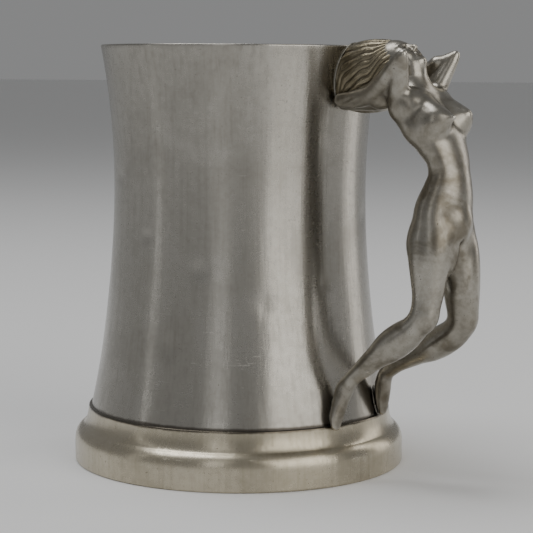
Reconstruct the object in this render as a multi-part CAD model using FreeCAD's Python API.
"""Pewter tankard of one pint with a cast figure for its handle, soldered together from four pieces.

Row frame: millimetres, +Z up, origin on the table at the centre of the foot. The handle stands on +X.

The waisted body shell is spun open at both ends. Its straight lower end drops into the socket of a spun,
stepped foot ring, and a floor disc closes it there. The handle is one casting of a leaning figure: her hair
is soldered to the wall just under the rim, and her feet to the wall at the foot ring.
"""

import FreeCAD
import Part
import math
import os

Vector = FreeCAD.Vector
ORIGIN = Vector(0, 0, 0)
UP = Vector(0, 0, 1)

# Body shell: driving dimensions
HEIGHT = 127.0
WALL = 1.1
SEAM_HEIGHT = 17.0
SEAM_RADIUS = 45.7
SOCKET_BOTTOM = 10.4
# Height and outer radius of the wall, from the foot ring's lip to just under the rim
WALL_OUTLINE = [
    (SEAM_HEIGHT, SEAM_RADIUS),
    (35.0, 42.4),
    (54.0, 40.1),
    (72.0, 38.8),
    (90.0, 38.7),
    (109.0, 39.9),
    (HEIGHT - WALL / 2, 42.5),
]

# Foot ring
FOOT_RADIUS = 50.8
FOOT_SHEET = 1.2
FOOT_WALL_TOP = 6.8
SHOULDER_FOOT = (48.3, 10.9)  # radius and height where the shoulder meets the cove
LIP_RADIUS = 46.6
LIP_CREST = (46.2, 16.95)  # radius and height of the lip's top edge
GROOVE_DEPTH = 0.85  # of the groove for solder between the lip and the wall
FLANGE_INNER_RADIUS = 43.4
SOCKET_CLEARANCE = 0.02

# Floor disc
FLOOR_SHEET = 1.4
FLOOR_HEIGHT = SOCKET_BOTTOM
FLOOR_CLEARANCE = 0.05

# Solder
FLOOR_FILLET = 1.6
JOINT_FILLET = 0.7

SECTION_POINTS = 12


def revolved(edges):
    """Solid swept round the tankard's axis by a closed outline in the XZ plane."""
    return Part.Face(Part.Wire(edges)).revolve(ORIGIN, UP, 360)


def at(radius, height):
    """Point of an outline: radius from the axis and height above the table."""
    return Vector(radius, 0, height)


def line(start, end):
    return Part.LineSegment(start, end).toShape()


def arc(start, middle, end):
    return Part.Arc(start, middle, end).toShape()


def curve_through(points):
    curve = Part.BSplineCurve()
    curve.interpolate(points)
    return curve


def wall_curves():
    """Outer and inner curves of the body wall, the inner one a wall's thickness inside."""
    outer = curve_through([at(radius, height) for height, radius in WALL_OUTLINE])
    inner_points = []
    for height, radius in WALL_OUTLINE:
        point = at(radius, height)
        tangent = outer.tangent(outer.parameter(point))[0]
        inner_points.append(point + Vector(-tangent.z, 0, tangent.x) * WALL)
    return outer, curve_through(inner_points)


def body_shell():
    """Open waisted tube: straight lower end, concave wall and a rounded rim."""
    outer, inner = wall_curves()
    outer_low, outer_top = outer.StartPoint, outer.EndPoint
    inner_low, inner_top = inner.StartPoint, inner.EndPoint
    end_outer = at(outer_low.x, SOCKET_BOTTOM)
    end_inner = at(inner_low.x, SOCKET_BOTTOM)
    rim_tip = at((outer_top.x + inner_top.x) / 2, HEIGHT)
    return revolved(
        [
            line(end_outer, outer_low),
            outer.toShape(),
            arc(outer_top, rim_tip, inner_top),
            inner.toShape(),
            line(inner_low, end_inner),
            line(end_inner, end_outer),
        ]
    )


def body_core(grown=0.0):
    """Everything inside the body's outer surface, or inside that surface grown outward."""
    outer = curve_through([at(radius + grown, height) for height, radius in WALL_OUTLINE])
    corner = at(outer.StartPoint.x, 0)
    top = at(0, outer.EndPoint.z)
    low = at(0, 0)
    return revolved(
        [
            line(low, corner),
            line(corner, outer.StartPoint),
            outer.toShape(),
            line(outer.EndPoint, top),
            line(top, low),
        ]
    )


def foot_outline():
    """Outer side of the foot ring, from the table up to the crest of its lip."""
    edge = 0.5
    shoulder = at(*SHOULDER_FOOT)
    wall_end = at(FOOT_RADIUS, edge)
    wall_top = at(FOOT_RADIUS, FOOT_WALL_TOP)
    lip_side = at(LIP_RADIUS, LIP_CREST[1] - 0.75)
    lip_round = at(LIP_RADIUS - 0.08, LIP_CREST[1] - 0.25)
    return [
        arc(at(FOOT_RADIUS - edge, 0), at(FOOT_RADIUS - 0.15, 0.15), wall_end),
        line(wall_end, wall_top),
        arc(wall_top, at(FOOT_RADIUS - 0.75, 9.35), shoulder),
        arc(shoulder, at(47.0, 13.2), lip_side),
        arc(lip_side, lip_round, at(*LIP_CREST)),
    ]


def foot_ring():
    """Stepped ring: wall, shoulder, cove and lip, with a socket and a flange for the body."""
    socket = SEAM_RADIUS + SOCKET_CLEARANCE
    flange_low = SOCKET_BOTTOM - FOOT_SHEET
    table_inner = at(FOOT_RADIUS - FOOT_SHEET, 0)
    wall_inner = at(FOOT_RADIUS - FOOT_SHEET, FOOT_WALL_TOP)
    shoulder_inner = at(SHOULDER_FOOT[0] - FOOT_SHEET, SHOULDER_FOOT[1] - FOOT_SHEET)
    points = [
        at(*LIP_CREST),
        at(socket, LIP_CREST[1] - GROOVE_DEPTH),
        at(socket, SOCKET_BOTTOM),
        at(FLANGE_INNER_RADIUS, SOCKET_BOTTOM),
        at(FLANGE_INNER_RADIUS, flange_low),
        at(socket, flange_low),
        shoulder_inner,
    ]
    inside = [line(a, b) for a, b in zip(points, points[1:])]
    round_middle = at(FOOT_RADIUS - FOOT_SHEET - 0.6, 8.6)
    inside.append(arc(shoulder_inner, round_middle, wall_inner))
    inside.append(line(wall_inner, table_inner))
    inside.append(line(table_inner, at(FOOT_RADIUS - 0.5, 0)))
    return revolved(foot_outline() + inside)


def foot_core():
    """Everything inside the foot ring's outer surface, for trimming the figure's toes."""
    crest = at(*LIP_CREST)
    top = at(0, crest.z)
    low = at(0, 0)
    return revolved(foot_outline() + [line(crest, top), line(top, low), line(low, at(FOOT_RADIUS - 0.5, 0))])


def inner_wall_radius():
    """Inside radius of the body's straight lower end."""
    _, inner = wall_curves()
    return inner.StartPoint.x


def floor_disc():
    """Flat disc that closes the body, resting on the foot ring's flange."""
    radius = inner_wall_radius() - FLOOR_CLEARANCE
    return Part.makeCylinder(radius, FLOOR_SHEET, at(0, FLOOR_HEIGHT))


def solder_floor_seam():
    """Fillet of solder in the corner between floor and wall, inside the tankard."""
    wall = inner_wall_radius()
    top = FLOOR_HEIGHT + FLOOR_SHEET
    corner = at(wall, top)
    on_wall = at(wall, top + FLOOR_FILLET)
    on_floor = at(wall - FLOOR_FILLET, top)
    hollow = at(wall - 0.4 * FLOOR_FILLET, top + 0.4 * FLOOR_FILLET)
    return revolved([line(corner, on_wall), arc(on_wall, hollow, on_floor), line(on_floor, corner)])


def solder_foot_seam():
    """Solder that fills the groove between the wall and the foot ring's lip."""
    low = LIP_CREST[1] - GROOVE_DEPTH
    points = [
        at(SEAM_RADIUS, low),
        at(SEAM_RADIUS, SEAM_HEIGHT),
        at(*LIP_CREST),
        at(SEAM_RADIUS + SOCKET_CLEARANCE, low),
    ]
    return revolved([line(a, b) for a, b in zip(points, points[1:] + points[:1])])


# The figure. Stations are (x, y, z, half width across, half depth), from one end of a limb to the other.
TORSO = [
    (75.0, 0, 64.6, 3.0, 2.6),
    (74.6, 0, 66.4, 7.6, 5.6),
    (74.3, 0, 70.5, 10.6, 7.3),
    (74.0, 0, 75.2, 11.4, 8.0),
    (74.2, 0, 80.4, 10.8, 7.3),
    (75.2, 0, 85.8, 9.0, 6.0),
    (75.8, 0, 90.4, 7.6, 5.2),
    (74.4, 0, 95.4, 8.4, 5.6),
    (71.4, 0, 100.2, 9.8, 6.2),
    (68.4, 0, 105.0, 10.8, 6.2),
    (66.2, 0, 110.0, 10.2, 5.2),
    (65.0, 0, 113.4, 7.0, 4.0),
    (64.6, 0, 114.8, 3.0, 2.4),
]
NECK = [(65.4, 0, 111.5, 4.2, 3.8), (64.2, 0, 115.5, 3.5, 3.5), (63.0, 0, 120.5, 3.5, 3.5)]
RIGHT_LEG = [
    (73.9, -5.2, 74.0, 4.4, 4.6),
    (73.9, -5.7, 71.6, 6.2, 6.6),
    (73.9, -6.1, 67.6, 6.1, 6.2),
    (74.0, -6.7, 62.2, 5.1, 5.1),
    (74.1, -7.3, 56.9, 4.4, 4.4),
    (73.5, -7.8, 51.8, 4.1, 4.0),
    (70.8, -8.3, 47.6, 4.0, 4.0),
    (66.8, -8.8, 44.4, 4.1, 4.2),
    (62.8, -9.3, 41.6, 4.1, 4.2),
    (58.9, -9.5, 38.7, 3.6, 3.6),
    (54.2, -9.5, 34.8, 2.9, 2.9),
    (49.8, -9.4, 30.9, 2.4, 2.7),
    (46.6, -9.4, 26.8, 2.4, 2.8),
    (45.8, -10.2, 22.8, 2.4, 2.2),
    (45.9, -11.4, 18.9, 2.1, 1.7),
    (46.0, -12.0, 16.5, 1.3, 1.1),
]
LEFT_LEG = [
    (74.2, 5.2, 73.4, 4.4, 4.6),
    (74.6, 5.7, 70.7, 6.2, 6.6),
    (75.6, 6.1, 66.5, 6.1, 6.2),
    (76.4, 6.7, 61.3, 5.1, 5.2),
    (76.3, 7.3, 55.6, 4.5, 4.6),
    (75.8, 7.8, 49.6, 4.3, 4.3),
    (73.2, 8.2, 45.0, 4.2, 4.2),
    (69.0, 8.7, 42.2, 4.1, 4.1),
    (64.0, 9.2, 40.0, 4.0, 4.0),
    (58.4, 9.8, 37.2, 3.5, 3.5),
    (52.6, 10.5, 33.6, 2.7, 2.8),
    (48.0, 11.2, 29.4, 2.4, 2.6),
    (46.3, 11.7, 24.7, 2.3, 2.6),
    (45.9, 12.0, 20.7, 2.2, 2.0),
    (45.8, 12.1, 17.6, 1.4, 1.2),
]
UPPER_ARM = [
    (65.6, 6.6, 106.2, 2.4, 2.4),
    (65.4, 8.6, 109.4, 3.2, 3.2),
    (65.6, 10.2, 113.4, 2.8, 2.8),
    (66.9, 12.0, 118.9, 2.3, 2.3),
    (68.5, 13.4, 123.2, 1.7, 1.7),
    (69.0, 13.8, 124.6, 0.7, 0.7),
]
FOREARM = [
    (69.2, 13.9, 124.4, 0.7, 0.7),
    (68.1, 13.3, 123.4, 1.7, 1.7),
    (64.4, 11.8, 121.0, 2.1, 2.1),
    (59.4, 9.2, 117.4, 2.0, 1.9),
    (55.6, 6.8, 114.6, 1.7, 1.5),
]
HAIR = [
    (61.6, 0, 118.6, 4.2, 5.6),
    (59.0, 0, 118.6, 6.6, 8.6),
    (55.0, 0, 118.1, 7.6, 9.9),
    (50.0, 0, 117.8, 8.0, 10.2),
    (45.0, 0, 117.4, 7.8, 9.8),
    (41.0, 0, 117.2, 7.1, 8.9),
    (37.0, 0, 117.2, 6.0, 7.6),
]
HEAD_CENTRE = Vector(57.6, 0, 121.4)
HEAD_HALF_SIZES = (6.1, 5.7, 7.9)  # face to back, ear to ear, chin to crown
HEAD_TILT = -60.0  # degrees about Y from upright: the face looks up and outward
NOSE = (5.9, 0, -0.8, 1.0)  # in the head's own frame: forward, across, up, and radius
CHIN = (3.6, 0, -6.4, 2.1)
BREAST_RADIUS = 4.3
BREAST_CENTRE = Vector(74.4, 6.1, 106.6)


def mirrored(stations):
    """The same limb on the other side of the figure's middle plane."""
    return [(x, -y, z, across, deep) for x, y, z, across, deep in stations]


def section(centre, tangent, across, deep):
    """Closed elliptical wire square to the limb, its wide axis as near to Y as it can be."""
    wide = Vector(0, 1, 0) - tangent * tangent.y
    wide.normalize()
    thick = tangent.cross(wide)
    points = []
    for i in range(SECTION_POINTS):
        turn = 2 * math.pi * i / SECTION_POINTS
        points.append(centre + wide * (across * math.cos(turn)) + thick * (deep * math.sin(turn)))
    curve = Part.BSplineCurve()
    curve.interpolate(Points=points, PeriodicFlag=True)
    return Part.Wire([curve.toShape()])


def limb(stations):
    """Solid lofted through a limb's stations."""
    centres = [Vector(*station[:3]) for station in stations]
    wires = []
    for i, (centre, station) in enumerate(zip(centres, stations)):
        before = centres[max(i - 1, 0)]
        after = centres[min(i + 1, len(centres) - 1)]
        tangent = (after - before).normalize()
        wires.append(section(centre, tangent, station[3], station[4]))
    return Part.makeLoft(wires, True, False)


def in_head(forward, across, up):
    """Point given in the head's own frame, in the row frame."""
    turn = FreeCAD.Rotation(Vector(0, 1, 0), HEAD_TILT)
    return HEAD_CENTRE + turn.multVec(Vector(forward, across, up))


def head():
    """Egg-shaped skull with a plain nose and chin."""
    skull = Part.makeSphere(1.0)
    forward, across, tall = HEAD_HALF_SIZES
    stretch = FreeCAD.Matrix()
    stretch.scale(forward, across, tall)
    skull = skull.transformGeometry(stretch)
    skull.Placement = FreeCAD.Placement(HEAD_CENTRE, FreeCAD.Rotation(Vector(0, 1, 0), HEAD_TILT))
    lumps = [Part.makeSphere(radius, in_head(*place)) for *place, radius in (NOSE, CHIN)]
    return [skull] + lumps


def breasts():
    x, y, z = BREAST_CENTRE
    return [Part.makeSphere(BREAST_RADIUS, Vector(x, side * y, z)) for side in (-1, 1)]


def largest_solid(shape):
    """The biggest solid of a boolean's result."""
    return max(shape.Solids, key=lambda solid: solid.Volume)


def figure():
    """The whole figure as one solid, before it is trimmed to the wall."""
    limbs = [NECK, RIGHT_LEG, LEFT_LEG, HAIR]
    for arm in (UPPER_ARM, FOREARM):
        limbs.append(arm)
        limbs.append(mirrored(arm))
    whole = limb(TORSO)
    for stations in limbs:
        whole = whole.fuse(limb(stations))
    for lump in head() + breasts():
        whole = whole.fuse(lump)
    return largest_solid(whole)


def solder_collar(stations, neighbours):
    """Thin collar of solder on the wall, round one end of the figure."""
    swollen = [(x, y, z, across + JOINT_FILLET, deep + JOINT_FILLET) for x, y, z, across, deep in stations]
    collar = limb(swollen).common(body_core(JOINT_FILLET)).cut(body_core())
    for shape in neighbours:
        collar = collar.cut(shape)
    return largest_solid(collar)


def capacity(body, floor):
    """What the tankard holds when it is full to the rim, in millilitres."""
    inside = body_core().cut(body).cut(floor)
    above = Part.makeBox(200, 200, HEIGHT, Vector(-100, -100, FLOOR_HEIGHT + FLOOR_SHEET))
    return largest_solid(inside.common(above)).Volume / 1000


def report(name, shape):
    """One line of facts about a finished node."""
    box = shape.BoundBox
    size = f"{box.XLength:.1f} x {box.YLength:.1f} x {box.ZLength:.1f}"
    print(f"{name}: valid {shape.isValid()}, solids {len(shape.Solids)}, {shape.Volume:.1f} mm3, {size}")


def main():
    os.makedirs("parts", exist_ok=True)
    body = body_shell()
    ring = foot_ring()
    seam = solder_foot_seam()
    handle = largest_solid(figure().cut(body_core()).cut(foot_core()).cut(seam))
    neighbours = [handle, ring, seam]
    nodes = {
        "body_shell": body,
        "foot_ring": ring,
        "floor_disc": floor_disc(),
        "figure_handle": handle,
        "solder_floor_seam": solder_floor_seam(),
        "solder_foot_seam": seam,
        "solder_hair_joint": solder_collar(HAIR[4:], neighbours),
        "solder_right_foot": solder_collar(RIGHT_LEG[11:], neighbours),
        "solder_left_foot": solder_collar(LEFT_LEG[11:], neighbours),
    }
    for name, shape in nodes.items():
        report(name, shape)
        shape.exportStep(f"parts/{name}.step")
    print(f"holds {capacity(body, nodes['floor_disc']):.0f} ml to the rim")


main()
